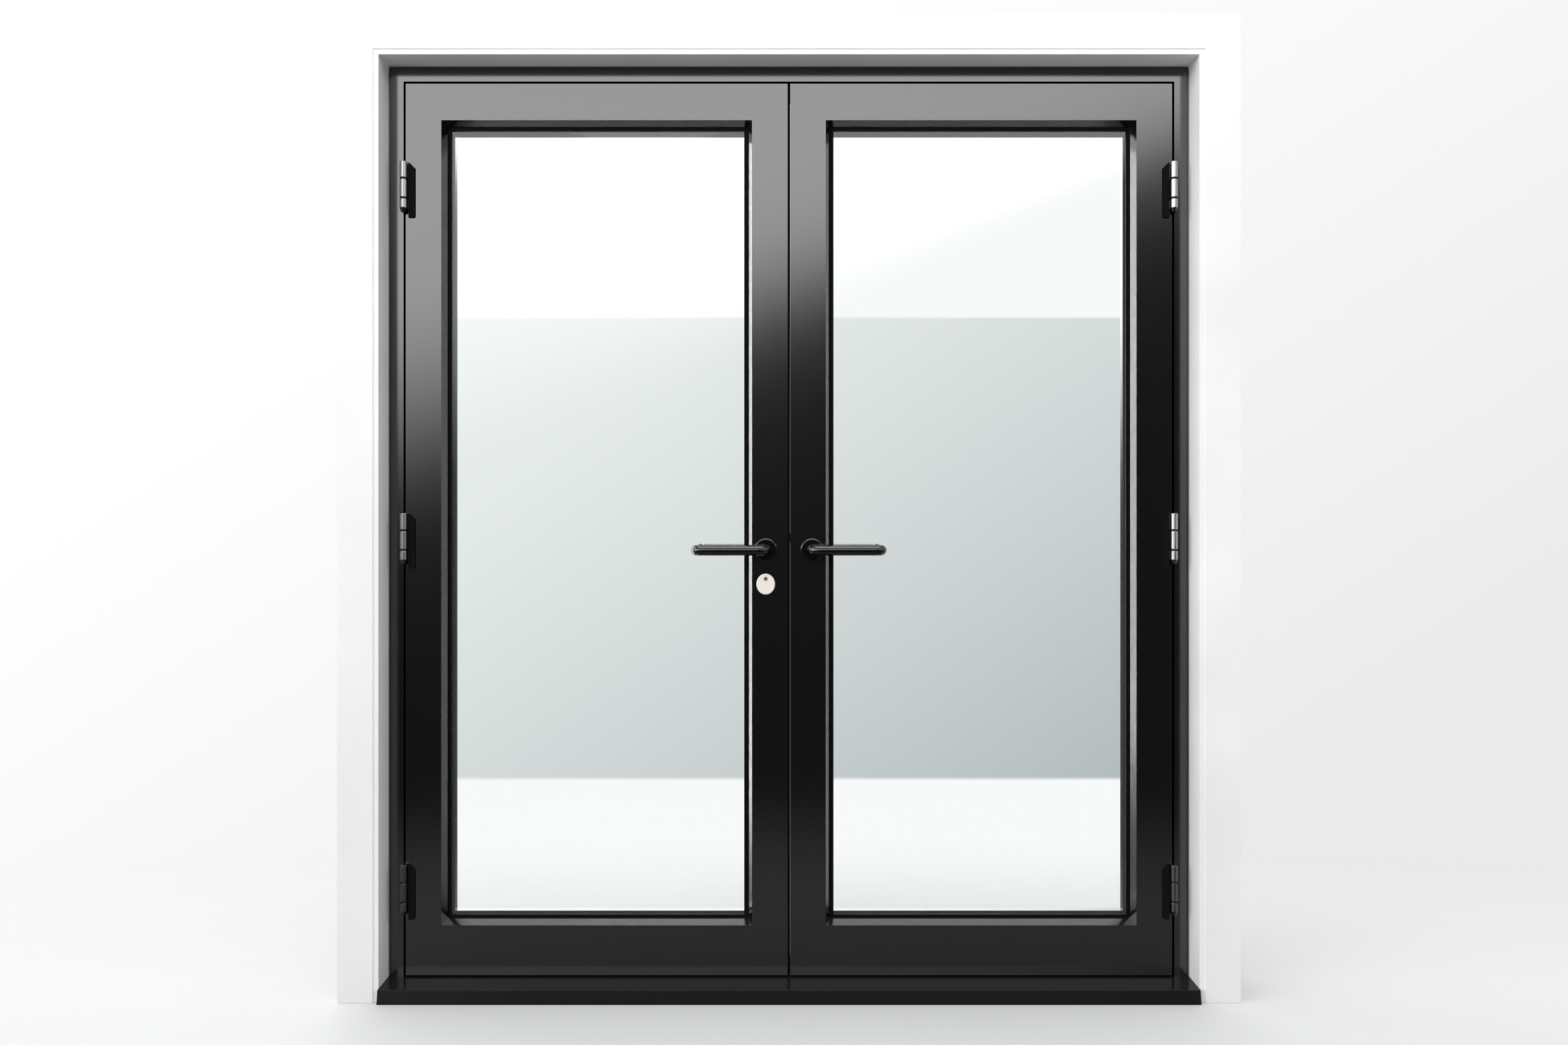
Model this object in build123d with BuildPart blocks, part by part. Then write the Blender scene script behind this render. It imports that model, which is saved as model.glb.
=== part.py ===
from build123d import *
import os
from math import sqrt

# Double-leaf french doors in a black aluminium frame, with a white lining and casing.
# Millimetres. X runs along the doors, Y goes into the room behind them, Z goes up.
# The origin is on the floor, midway between the jambs, under the face of the leaves.

os.makedirs("parts", exist_ok=True)

# Reveal and casing round the doors
reveal_width = 1803.0
reveal_height = 2083.0
reveal_depth = 72.0
casing_width = 90.0
casing_thickness = 20.0
casing_lip_width = 12.0
casing_lip_step = 2.0
lining_thickness = 18.0

# Fixed frame
side_groove = 6.5
head_groove = 8.0
groove_depth = 10.0
frame_face = 28.0
frame_wall = 2.5
fixing_flange = 30.0
stop_overlap = 20.0
stop_thickness = 14.0
stop_gap = 8.0
fixing_hole = 10.0
fixing_lowest = 440.0
fixing_below_head = 47.0
fixing_inset = 30.0

# Sill
sill_height = 32.0
sill_nose_height = 30.0
sill_nose_rake = 6.0
sill_nose_round = 1.5
sill_projection = 12.0
sill_wall = 3.0

# Leaves
leaf_depth = 74.0
leaf_wall = 2.5
stile_face = 80.0
top_rail_face = 82.0
bottom_rail_face = 112.0
side_gap = 5.0
head_gap = 5.0
foot_gap = 4.0
meeting_gap = 6.0

# Glazing
outer_bead_width = 11.0
outer_bead_depth = 20.0
inner_bead_width = 19.0
inner_bead_chamfer = 3.0
outer_gasket = 4.0
inner_gasket = 3.0
gasket_lip = 7.0
pane = 4.0
pane_gap = 16.0
glass_edge_gap = 3.0
spacer_inset = 3.0
spacer_width = 8.0
block_length = 100.0
block_inset = 120.0
mitre_gap = 0.2

# Corner cleats inside the hollow bars
cleat_reach = 130.0
cleat_arm = 40.0
cleat_thickness = 30.0
frame_cleat_depth = 57.6

# Seals
frame_seal_inset = 5.0
frame_seal_width = 12.0
seal_clearance = 0.3
meeting_seal_width = 8.0
meeting_seal_inset = 4.0
meeting_seal_gap = 0.6

# Hinges
barrel_radius = 8.2
barrel_standoff = 9.5
pin_radius = 4.0
pin_clearance = 0.05
upper_knuckle = 36.0
middle_knuckle = 40.0
lower_knuckle = 20.0
washer_height = 4.0
washer_inset = 0.6
running_gap = 0.3
pin_cap = 9.0
pin_cap_tip = 5.0
hinge_plate = 2.4
hinge_plate_depth = 45.0
flange_thickness = 4.0
flange_width = 16.0
flange_top_corner = 13.0
flange_foot_corner = 3.0
flange_drop = 20.0
flange_gap = 1.4
knuckle_round = 0.8
hinge_above_foot = 198.0
hinge_below_top = 230.0
hinge_screw_radius = 2.4
hinge_screw_length = 14.0
hinge_screw_head = 4.5
hinge_screw_head_height = 1.2
hinge_screw_pitch = 40.0
hinge_screw_inset = 28.0
screw_clearance = 0.1

# Levers
spindle_backset = 49.0
spindle_height = 993.0
spindle_side = 8.0
spindle_grip = 19.0
spindle_clearance = 0.1
spindle_hole_gap = 0.75
hub_radius = 11.0
rose_radius = 26.0
rose_thickness = 9.0
rose_round = 3.0
lever_radius = 12.0
lever_standoff = 52.0
lever_reach = 165.0
lever_bend = 20.0
lever_return_bend = 14.0
lever_return = 6.0
lever_end_round = 2.5

# Lock in the left leaf
fit = 0.3
case_thickness = 16.0
case_wall = 2.0
case_depth = 64.0
case_below = 115.0
case_above = 47.0
faceplate_thickness = 3.0
faceplate_width = 20.0
faceplate_overlap = 18.0
bolt_thickness = 12.0
bolt_height = 20.0
latch_rise = 27.0
latch_throw = 11.5
latch_length = 33.0
latch_bevel = 8.0
deadbolt_drop = 38.0
deadbolt_length = 37.0
cylinder_drop = 65.0
cylinder_radius = 8.5
cylinder_fin_width = 10.0
cylinder_height = 33.0
cylinder_bridge = 10.0
plug_radius = 6.5
plug_nose_radius = 4.2
plug_nose = 5.5
key_slot_width = 1.6
key_slot_height = 5.6
key_slot_depth = 5.0
cam_width = 8.4
cam_radius = 8.4
cam_lug_width = 6.0
cam_lug_reach = 14.0
escutcheon_width = 42.0
escutcheon_height = 47.0
escutcheon_thickness = 6.0
escutcheon_round = 2.5
escutcheon_drop = 12.0

# Shoot bolts and gearbox in the right leaf
gearbox_setback = 11.0
gearbox_below = 68.0
gearbox_above = 67.0
rod_radius = 4.0
rod_chamfer = 1.0
rod_backset = 19.0
rod_start_above = 37.0
rod_start_below = 38.0
bolt_throw_above_leaf = 17.0
bolt_throw_below_leaf = 16.0
keep_length = 36.0
keep_width = 24.0
keep_thickness = 2.0
keep_clearance = 1.0
strike_height = 150.0

# How far a cut runs past the piece that it cuts
margin = 1.0

# Places worked out from the sizes above
jamb_x = reveal_width / 2 - side_groove - frame_face
head_z = reveal_height - head_groove - frame_face
stop_y = leaf_depth + stop_gap
frame_depth = stop_y + stop_thickness
reveal = (-reveal_width / 2, reveal_width / 2, 0, reveal_height)
frame_opening = (-jamb_x, jamb_x, sill_height, head_z)
leaf_outside = jamb_x - side_gap
leaf_inside = meeting_gap / 2
leaf_foot = sill_height + foot_gap
leaf_top = head_z - head_gap
leaf = (-leaf_outside, -leaf_inside, leaf_foot, leaf_top)
lowest_hinge = leaf_foot + hinge_above_foot
highest_hinge = leaf_top - hinge_below_top
hinge_heights = (lowest_hinge, (lowest_hinge + highest_hinge) / 2, highest_hinge)
daylight = (
    leaf[0] + stile_face,
    leaf[1] - stile_face,
    leaf[2] + bottom_rail_face,
    leaf[3] - top_rail_face,
)
bar_faces = {
    "left": stile_face,
    "right": stile_face,
    "head": top_rail_face,
    "foot": bottom_rail_face,
}
glass_front = outer_bead_depth + outer_gasket
glass_back = glass_front + 2 * pane + pane_gap
inner_bead_front = glass_back + inner_gasket
mid_depth = leaf_depth / 2
spindle_x = -(leaf_inside + spindle_backset)
spindle_hole = spindle_side / sqrt(2) + spindle_hole_gap
barrel_x = jamb_x - side_gap / 2
barrel_height = upper_knuckle + middle_knuckle + lower_knuckle + 2 * washer_height
cylinder_z = spindle_height - cylinder_drop
escutcheon_z = cylinder_z - escutcheon_drop
outward = {"left": (-1, 0), "right": (1, 0), "head": (0, 1), "foot": (0, -1)}
neighbours = {
    "left": ("head", "foot"),
    "right": ("head", "foot"),
    "head": ("left", "right"),
    "foot": ("left", "right"),
}
all_sides = ("left", "right", "head", "foot")
leaf_mirror = Plane(origin=(0, mid_depth, 0), x_dir=(1, 0, 0), z_dir=(0, 1, 0))


def save(piece, name):
    """Label a finished piece and write it as one STEP file."""
    piece.part.label = name
    export_step(piece.part, f"parts/{name}.step")


def inset(opening, amount):
    """The rectangle that lies this far inside an opening (outside it if negative)."""
    left, right, foot, head = opening
    return (left + amount, right - amount, foot + amount, head - amount)


def corner(opening, *sides):
    """A corner of an opening, or the middle of one of its sides."""
    left, right, foot, head = opening
    x, z = (left + right) / 2, (foot + head) / 2
    for side in sides:
        step_x, step_z = outward[side]
        x += step_x * (right - left) / 2
        z += step_z * (head - foot) / 2
    return (x, 0, z)


def bar_plane(opening, side):
    """Section plane of a bar: first axis away from the opening, second axis into the room."""
    out_x, out_z = outward[side]
    return Plane(
        origin=corner(opening, side), x_dir=(out_x, 0, out_z), z_dir=(-out_z, 0, out_x)
    )


def mitre(opening, side, neighbour, widths=None, gap=0.0):
    """Cut the bar that is being built where it meets its neighbour at a corner."""
    own, other = (widths[side], widths[neighbour]) if widths else (1, 1)
    (own_x, own_z), (other_x, other_z) = outward[side], outward[neighbour]
    normal = (own_x * other - other_x * own, 0, own_z * other - other_z * own)
    cut = Plane(origin=corner(opening, side, neighbour), z_dir=normal)
    split(bisect_by=cut.offset(gap / 2), keep=Keep.TOP)


def bar(opening, side, outline, ends=None, wall=0.0, widths=None, gap=0.0):
    """A straight bar along one side of an opening, mitred into its neighbours.

    The outline's points are (distance outside the opening, depth into the room)."""
    reach = max(opening[1] - opening[0], opening[3] - opening[2])
    with BuildPart() as piece:
        with BuildSketch(bar_plane(opening, side)):
            with BuildLine():
                Polyline(*outline, close=True)
            make_face()
            if wall:
                offset(amount=-wall, kind=Kind.INTERSECTION, mode=Mode.SUBTRACT)
        extrude(amount=reach, both=True)
        for neighbour in ends or neighbours[side]:
            mitre(opening, side, neighbour, widths, gap)
        if side in ("left", "right") and ends:
            split(bisect_by=Plane.XY.offset(opening[2]), keep=Keep.TOP)
    return piece.part


def ring(opening, inner, outer, front, back):
    """A flat rectangular ring between two insets of an opening and two depths."""
    with BuildPart() as piece:
        for amount, mode in ((outer, Mode.ADD), (inner, Mode.SUBTRACT)):
            left, right, foot, head = inset(opening, amount)
            with Locations(((left + right) / 2, (front + back) / 2, (foot + head) / 2)):
                Box(right - left, back - front, head - foot, mode=mode)
    return piece.part


def block(x, y, z, mode=Mode.ADD):
    """A box between the low and high values of each axis."""
    with Locations(((x[0] + x[1]) / 2, (y[0] + y[1]) / 2, (z[0] + z[1]) / 2)):
        Box(x[1] - x[0], y[1] - y[0], z[1] - z[0], mode=mode)


def rod_along_y(radius, x, y, z, mode=Mode.ADD):
    """A round bar or hole through the thickness of a leaf."""
    with Locations((x, (y[0] + y[1]) / 2, z)):
        Cylinder(radius, y[1] - y[0], rotation=(90, 0, 0), mode=mode)


def rod_along_z(radius, x, y, z, mode=Mode.ADD):
    """An upright round bar or hole."""
    with Locations((x, y, (z[0] + z[1]) / 2)):
        Cylinder(radius, z[1] - z[0], mode=mode)


# White casing and lining of the reveal
casing_front = -reveal_depth
casing_back = casing_front + casing_thickness
casing_outline = (
    (0, casing_front + casing_lip_step),
    (casing_lip_width, casing_front + casing_lip_step),
    (casing_lip_width, casing_front),
    (casing_width, casing_front),
    (casing_width, casing_back),
    (0, casing_back),
)
lining_outline = (
    (0, casing_back),
    (lining_thickness, casing_back),
    (lining_thickness, groove_depth),
    (0, groove_depth),
)
for side in ("left", "right", "head"):
    for name, outline in (("casing", casing_outline), ("lining", lining_outline)):
        with BuildPart() as board:
            add(bar(reveal, side, outline, ends=("head",) if side != "head" else None))
        save(board, f"{name}_{side}")

# Sill: raked nose, sloping top, and an upstand that the foot of each leaf closes against
flange_x = jamb_x + frame_face + fixing_flange
nose_y = -reveal_depth - sill_projection
sill_outline = (
    (nose_y, 0),
    (nose_y + sill_nose_rake, sill_nose_height),
    (0, sill_height),
    (stop_y, sill_height),
    (stop_y, sill_height + stop_overlap),
    (frame_depth, sill_height + stop_overlap),
    (frame_depth, 0),
)


def sill_bar(hollow):
    """The sill between the linings, widened behind them to carry the jambs."""
    with BuildPart() as piece:
        with BuildSketch(Plane.YZ):
            with BuildLine():
                Polyline(*sill_outline, close=True)
            make_face()
            if hollow:
                offset(amount=-sill_wall, kind=Kind.INTERSECTION, mode=Mode.SUBTRACT)
            nose = vertices().sort_by_distance((nose_y + sill_nose_rake, sill_nose_height, 0))[0]
            fillet(nose, sill_nose_round)
        extrude(amount=flange_x, both=True)
        for end in (-1, 1):
            x = sorted((end * reveal_width / 2, end * (flange_x + margin)))
            block(x, (nose_y - margin, groove_depth), (-margin, sill_height + margin), Mode.SUBTRACT)
    return piece.part


rod_x = leaf_inside + rod_backset
keep_hole = rod_radius + keep_clearance
with BuildPart() as sill:
    add(sill_bar(hollow=True))
    hole = (sill_height - sill_wall - margin, sill_height + margin)
    rod_along_z(keep_hole, rod_x, mid_depth, hole, Mode.SUBTRACT)
save(sill, "sill")

# Fixed frame: jambs and head of one hollow section, with a stop behind the leaves
frame_outline = (
    (0, 0),
    (frame_face, 0),
    (frame_face, groove_depth),
    (frame_face + fixing_flange, groove_depth),
    (frame_face + fixing_flange, frame_depth),
    (-stop_overlap, frame_depth),
    (-stop_overlap, stop_y),
    (0, stop_y),
)
highest_fixing = head_z - fixing_below_head
fixing_heights = (fixing_lowest, (fixing_lowest + highest_fixing) / 2, highest_fixing)
screw_rows = [z + step * hinge_screw_pitch for z in hinge_heights for step in (-1, 0, 1)]
for side, sign in (("left", -1), ("right", 1)):
    with BuildPart() as jamb:
        add(bar(frame_opening, side, frame_outline, ends=("head",), wall=frame_wall))
        add(sill_bar(hollow=False), mode=Mode.SUBTRACT)
        for z in fixing_heights:
            with Locations((sign * jamb_x, fixing_inset, z)):
                Cylinder(fixing_hole / 2, flange_x, rotation=(0, 90, 0), mode=Mode.SUBTRACT)
        for z in screw_rows:
            with Locations((sign * jamb_x, hinge_screw_inset, z)):
                Cylinder(
                    hinge_screw_radius + screw_clearance,
                    frame_face,
                    rotation=(0, 90, 0),
                    mode=Mode.SUBTRACT,
                )
    save(jamb, f"frame_{side}_jamb")
with BuildPart() as frame_head:
    add(bar(frame_opening, "head", frame_outline, wall=frame_wall))
    hole = (head_z - margin, head_z + frame_wall + margin)
    rod_along_z(keep_hole, rod_x, mid_depth, hole, Mode.SUBTRACT)
save(frame_head, "frame_head")

with BuildPart() as frame_seal:
    add(
        ring(
            frame_opening,
            frame_seal_inset + frame_seal_width,
            frame_seal_inset,
            leaf_depth + seal_clearance,
            stop_y,
        )
    )
save(frame_seal, "frame_seal")


def cleat(opening, sides, inner, depth):
    """An L-shaped cleat that lies inside two mitred hollow bars.

    inner is how far outside the opening (inside it if negative) its outer edges lie."""
    x, _, z = corner(opening, *sides)
    out_x = outward[sides[0]][0]
    out_z = outward[sides[1]][1]
    x, z = x + out_x * inner, z + out_z * inner
    front, back = depth - cleat_thickness / 2, depth + cleat_thickness / 2
    for long_x, long_z in ((cleat_reach, cleat_arm), (cleat_arm, cleat_reach)):
        block(sorted((x, x - out_x * long_x)), (front, back), sorted((z, z - out_z * long_z)))


frame_cleat_edge = frame_face + fixing_flange - frame_wall - fit
with BuildPart() as frame_cleats:
    for side in ("left", "right"):
        cleat(frame_opening, (side, "head"), frame_cleat_edge, frame_cleat_depth)
save(frame_cleats, "frame_corner_cleats")

with BuildPart() as keeps:
    for z in ((head_z - keep_thickness, head_z), (sill_height, sill_height + keep_thickness)):
        block(
            (rod_x - keep_width / 2, rod_x + keep_width / 2),
            (mid_depth - keep_length / 2, mid_depth + keep_length / 2),
            z,
        )
        rod_along_z(keep_hole, rod_x, mid_depth, (z[0] - margin, z[1] + margin), Mode.SUBTRACT)
save(keeps, "bolt_keeps")

# Hinges. Every hinge is drawn for the left leaf and mirrored for the right.
barrel_y = -barrel_standoff
pin_hole = pin_radius + pin_clearance


def levels(z):
    """The heights that divide a hinge centred on z: foot, two washers, and top."""
    foot = z - barrel_height / 2
    washer = foot + lower_knuckle
    middle = washer + washer_height
    upper_washer = middle + middle_knuckle
    return foot, washer, middle, upper_washer, upper_washer + washer_height, foot + barrel_height


def knuckle(z, arm_x, arm_y):
    """One round knuckle with the flat arm that carries it."""
    with BuildPart() as piece:
        rod_along_z(barrel_radius, -barrel_x, barrel_y, z)
        ends = piece.edges().filter_by(GeomType.CIRCLE)
        fillet(ends, knuckle_round)
        block(arm_x, arm_y, z)
        rod_along_z(pin_hole, -barrel_x, barrel_y, (z[0] - margin, z[1] + margin), Mode.SUBTRACT)
    return piece.part


plate_x = (-jamb_x, -jamb_x + hinge_plate)
with BuildPart() as frame_hinge_leaves:
    for z in hinge_heights:
        foot, washer, middle, upper_washer, upper, top = levels(z)
        add(knuckle((foot, washer), plate_x, (barrel_y, margin)))
        add(knuckle((upper, top), plate_x, (barrel_y, margin)))
        block(plate_x, (0, hinge_plate_depth), (foot, top))
        for step in (-1, 0, 1):
            row = z + step * hinge_screw_pitch
            with Locations((-jamb_x, hinge_screw_inset, row)):
                Cylinder(
                    hinge_screw_radius + screw_clearance,
                    hinge_plate + frame_face,
                    rotation=(0, 90, 0),
                    mode=Mode.SUBTRACT,
                )
            with Locations((plate_x[1], hinge_screw_inset, row)):
                Cylinder(
                    hinge_screw_head + screw_clearance,
                    2 * hinge_screw_head_height,
                    rotation=(0, 90, 0),
                    mode=Mode.SUBTRACT,
                )
    mirror(about=Plane.YZ)
save(frame_hinge_leaves, "frame_hinge_leaves")

with BuildPart() as hinge_screws:
    for row in screw_rows:
        head_x = plate_x[1] - hinge_screw_head_height
        with Locations((head_x + hinge_screw_head_height / 2, hinge_screw_inset, row)):
            Cylinder(hinge_screw_head, hinge_screw_head_height, rotation=(0, 90, 0))
        with Locations((head_x - hinge_screw_length / 2, hinge_screw_inset, row)):
            Cylinder(hinge_screw_radius, hinge_screw_length, rotation=(0, 90, 0))
    mirror(about=Plane.YZ)
save(hinge_screws, "hinge_screws")

with BuildPart() as hinge_pins:
    for z in hinge_heights:
        foot, *_, top = levels(z)
        rod_along_z(pin_radius, -barrel_x, barrel_y, (foot - margin, top))
        with Locations((-barrel_x, barrel_y, foot - pin_cap / 2)):
            Cone(pin_cap_tip, barrel_radius, pin_cap)
    mirror(about=Plane.YZ)
save(hinge_pins, "hinge_pins")

with BuildPart() as washers:
    for z in hinge_heights:
        _, washer, middle, upper_washer, upper, _ = levels(z)
        for low, high in ((washer, middle - running_gap), (upper_washer + running_gap, upper)):
            rod_along_z(barrel_radius - washer_inset, -barrel_x, barrel_y, (low, high))
            rod_along_z(pin_hole, -barrel_x, barrel_y, (low, high), Mode.SUBTRACT)
    mirror(about=Plane.YZ)
save(washers, "hinge_washers")

# Leaf pieces that are alike in both leaves, drawn for the left leaf
twins = {}


def leaf_bar(side):
    """A hollow stile or rail of the left leaf."""
    face = bar_faces[side]
    outline = ((0, 0), (0, leaf_depth), (-face, leaf_depth), (-face, 0))
    return bar(leaf, side, outline, wall=leaf_wall, widths=bar_faces)


with BuildPart() as hinge_stile:
    add(leaf_bar("left"))
twins["hinge_stile"] = hinge_stile

with BuildPart() as lock_stile:
    add(leaf_bar("right"))

with BuildPart() as top_rail:
    add(leaf_bar("head"))

with BuildPart() as bottom_rail:
    add(leaf_bar("foot"))

with BuildPart() as panes:
    left, right, foot, head = inset(daylight, glass_edge_gap)
    for front in (glass_front, glass_back - pane):
        block((left, right), (front, front + pane), (foot, head))
twins["panes"] = panes

with BuildPart() as spacer:
    spacer_edge = glass_edge_gap + spacer_inset
    front, back = glass_front + pane, glass_back - pane
    add(ring(daylight, spacer_edge + spacer_width, spacer_edge, front, back))
twins["spacer"] = spacer

with BuildPart() as gaskets:
    outer_reach = outer_bead_width + gasket_lip
    add(ring(daylight, outer_reach, glass_edge_gap, outer_bead_depth, glass_front))
    add(ring(daylight, inner_bead_width, glass_edge_gap, glass_back, inner_bead_front))
    left, right, foot, head = daylight
    for end, inwards in ((left, 1), (right, -1)):
        block_end = end + inwards * block_inset
        length = sorted((block_end, block_end + inwards * block_length))
        block(length, (glass_front, glass_back), (foot, foot + glass_edge_gap))
twins["gaskets"] = gaskets

outer_bead_outline = ((0, 0), (-outer_bead_width, outer_bead_depth), (0, outer_bead_depth))
inner_bead_outline = (
    (0, inner_bead_front),
    (-inner_bead_width, inner_bead_front),
    (-inner_bead_width, leaf_depth - inner_bead_chamfer),
    (-inner_bead_width + inner_bead_chamfer, leaf_depth),
    (0, leaf_depth),
)
for name, outline in (("outer_beads", outer_bead_outline), ("inner_beads", inner_bead_outline)):
    with BuildPart() as beads:
        for side in all_sides:
            add(bar(daylight, side, outline, gap=mitre_gap))
    twins[name] = beads

leaf_cleat_edge = -(leaf_wall + fit)
with BuildPart() as leaf_cleats:
    for side in ("left", "right"):
        for end in ("head", "foot"):
            cleat(leaf, (side, end), leaf_cleat_edge, mid_depth)

with BuildPart() as hinge_leaves:
    near = -barrel_x + barrel_radius + flange_gap
    far = -barrel_x + barrel_radius + flange_width
    for z in hinge_heights:
        foot, _, middle, upper_washer, _, top = levels(z)
        add(knuckle((middle, upper_washer), (-barrel_x + margin, near + margin), (-flange_thickness, 0)))
        with BuildSketch(Plane.XZ):
            with BuildLine():
                Polyline(
                    (near, foot - flange_drop),
                    (far - flange_foot_corner, foot - flange_drop),
                    (far, foot - flange_drop + flange_foot_corner),
                    (far, top - flange_top_corner),
                    (far - flange_top_corner, top),
                    (near, top),
                    close=True,
                )
            make_face()
        extrude(amount=flange_thickness)
twins["hinge_leaves"] = hinge_leaves

def rose(front, rim_index):
    """A round rose with a softened rim on the side that faces away from the leaf."""
    back = front + rose_thickness
    with BuildPart() as piece:
        rod_along_y(rose_radius, spindle_x, (front, back), spindle_height)
        fillet(piece.edges().filter_by(GeomType.CIRCLE).sort_by(Axis.Y)[rim_index], rose_round)
        rod_along_y(spindle_hole, spindle_x, (front - margin, back + margin), spindle_height, Mode.SUBTRACT)
    return piece.part


with BuildPart() as roses:
    add(rose(-rose_thickness, 0))
    add(rose(leaf_depth, -1))
twins["roses"] = roses

with BuildPart() as outer_lever:
    neck = -rose_thickness - fit
    tip_x = spindle_x - lever_reach + lever_radius
    grip = Plane(origin=(0, 0, spindle_height), x_dir=(1, 0, 0), z_dir=(0, 0, 1))
    with BuildLine(grip) as path:
        route = FilletPolyline(
            (spindle_x, neck),
            (spindle_x, -lever_standoff),
            (tip_x, -lever_standoff),
            (tip_x, -lever_standoff + lever_return_bend + lever_return),
            radius=(lever_bend, lever_return_bend),
        )
    with BuildSketch(Plane(origin=(spindle_x, neck, spindle_height), z_dir=(0, -1, 0))):
        Circle(lever_radius)
    sweep(path=route)
    tip = outer_lever.faces().filter_by(Plane.XZ).sort_by(Axis.X)[0]
    fillet(tip.edges(), lever_end_round)
    half = spindle_side / 2 + spindle_clearance
    block(
        (spindle_x - half, spindle_x + half),
        (neck - spindle_grip - margin, neck + margin),
        (spindle_height - half, spindle_height + half),
        Mode.SUBTRACT,
    )
twins["outer_lever"] = outer_lever

with BuildPart() as inner_lever:
    mirror(outer_lever.part, about=leaf_mirror)
twins["inner_lever"] = inner_lever

with BuildPart() as spindle:
    half = spindle_side / 2
    reach = -rose_thickness - fit - spindle_grip
    block(
        (spindle_x - half, spindle_x + half),
        (reach, leaf_depth - reach),
        (spindle_height - half, spindle_height + half),
    )
    half_hub = case_thickness / 2 - case_wall - fit
    hub = (mid_depth - half_hub, mid_depth + half_hub)
    rod_along_y(hub_radius, spindle_x, hub, spindle_height)
twins["spindle"] = spindle

# Stile and rails that take the lock furniture

def lock_cuts(low, high):
    """Cut the holes for the spindle and for a plate let into the meeting edge."""
    rod_along_y(spindle_hole, spindle_x, (-margin, leaf_depth + margin), spindle_height, Mode.SUBTRACT)
    block(
        (-leaf_inside - faceplate_thickness, -leaf_inside + margin),
        (mid_depth - faceplate_width / 2 - fit, mid_depth + faceplate_width / 2 + fit),
        (low - fit, high + fit),
        Mode.SUBTRACT,
    )


def cylinder_outline(grow):
    """The lock cylinder's section: a round top with a straight fin under it."""
    with Locations((spindle_x, cylinder_z)):
        Circle(cylinder_radius + grow)
    low = cylinder_z + cylinder_radius - cylinder_height - grow
    with Locations((spindle_x, (low + cylinder_z) / 2)):
        Rectangle(cylinder_fin_width + 2 * grow, cylinder_z - low)


face_plane = Plane.XZ.offset(margin)
case_foot, case_top = spindle_height - case_below, spindle_height + case_above
plate_foot, plate_top = case_foot - faceplate_overlap, case_top + faceplate_overlap
with BuildPart() as left_lock_stile:
    add(lock_stile.part)
    lock_cuts(plate_foot, plate_top)
    with BuildSketch(face_plane):
        cylinder_outline(fit)
    extrude(amount=-leaf_depth - 2 * margin, mode=Mode.SUBTRACT)
save(left_lock_stile, "left_lock_stile")
save(top_rail, "left_top_rail")
save(bottom_rail, "left_bottom_rail")
save(leaf_cleats, "left_corner_cleats")

with BuildPart() as meeting_seal:
    seal_front = meeting_seal_inset
    block(
        (-leaf_inside, leaf_inside - meeting_seal_gap),
        (seal_front, seal_front + meeting_seal_width),
        (leaf_foot, leaf_top),
    )
save(meeting_seal, "left_meeting_seal")

# Lock: faceplate, case, latch, deadbolt and cylinder
latch_z = spindle_height + latch_rise
deadbolt_z = spindle_height - deadbolt_drop
case_x = -leaf_inside - faceplate_thickness
case_y = (mid_depth - case_thickness / 2, mid_depth + case_thickness / 2)


def bolt_holes(x):
    """Openings for the latch and the deadbolt."""
    for z in (latch_z, deadbolt_z):
        block(
            x,
            (mid_depth - bolt_thickness / 2 - fit, mid_depth + bolt_thickness / 2 + fit),
            (z - bolt_height / 2 - fit, z + bolt_height / 2 + fit),
            Mode.SUBTRACT,
        )


with BuildPart() as faceplate:
    block(
        (case_x, -leaf_inside),
        (mid_depth - faceplate_width / 2, mid_depth + faceplate_width / 2),
        (plate_foot, plate_top),
    )
    bolt_holes((case_x - margin, 0))
save(faceplate, "left_lock_faceplate")

with BuildPart() as lock_case:
    block((case_x - case_depth, case_x), case_y, (case_foot, case_top))
    block(
        (case_x - case_depth + case_wall, case_x + margin),
        (case_y[0] + case_wall, case_y[1] - case_wall),
        (case_foot + case_wall, case_top - case_wall),
        Mode.SUBTRACT,
    )
    rod_along_y(spindle_hole, spindle_x, (0, leaf_depth), spindle_height, Mode.SUBTRACT)
    with BuildSketch(face_plane):
        cylinder_outline(fit)
    extrude(amount=-leaf_depth - 2 * margin, mode=Mode.SUBTRACT)
save(lock_case, "left_lock_case")


def sliding_bolt(tip_x, length, z):
    """A square-cut bolt whose end stands at tip_x."""
    block(
        (tip_x - length, tip_x),
        (mid_depth - bolt_thickness / 2, mid_depth + bolt_thickness / 2),
        (z - bolt_height / 2, z + bolt_height / 2),
    )


with BuildPart() as latch:
    sliding_bolt(-leaf_inside + latch_throw, latch_length, latch_z)
    nose = latch.edges().filter_by(Axis.Z).group_by(Axis.X)[-1].sort_by(Axis.Y)[-1]
    chamfer(nose, latch_bevel)
save(latch, "latch_bolt")

with BuildPart() as deadbolt:
    sliding_bolt(-leaf_inside, deadbolt_length, deadbolt_z)
save(deadbolt, "deadbolt")

window = (mid_depth - cam_width / 2 - fit, mid_depth + cam_width / 2 + fit)
with BuildPart() as cylinder:
    with BuildSketch(Plane.XZ):
        cylinder_outline(0)
    extrude(amount=-leaf_depth)
    through = (-margin, leaf_depth + margin)
    rod_along_y(plug_radius + pin_clearance, spindle_x, through, cylinder_z, Mode.SUBTRACT)
    bridge = cylinder_z + cylinder_radius - cylinder_height + cylinder_bridge
    block(
        (spindle_x - cylinder_height, spindle_x + cylinder_height),
        window,
        (bridge, cylinder_z + cylinder_height),
        Mode.SUBTRACT,
    )
save(cylinder, "left_lock_cylinder")

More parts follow.
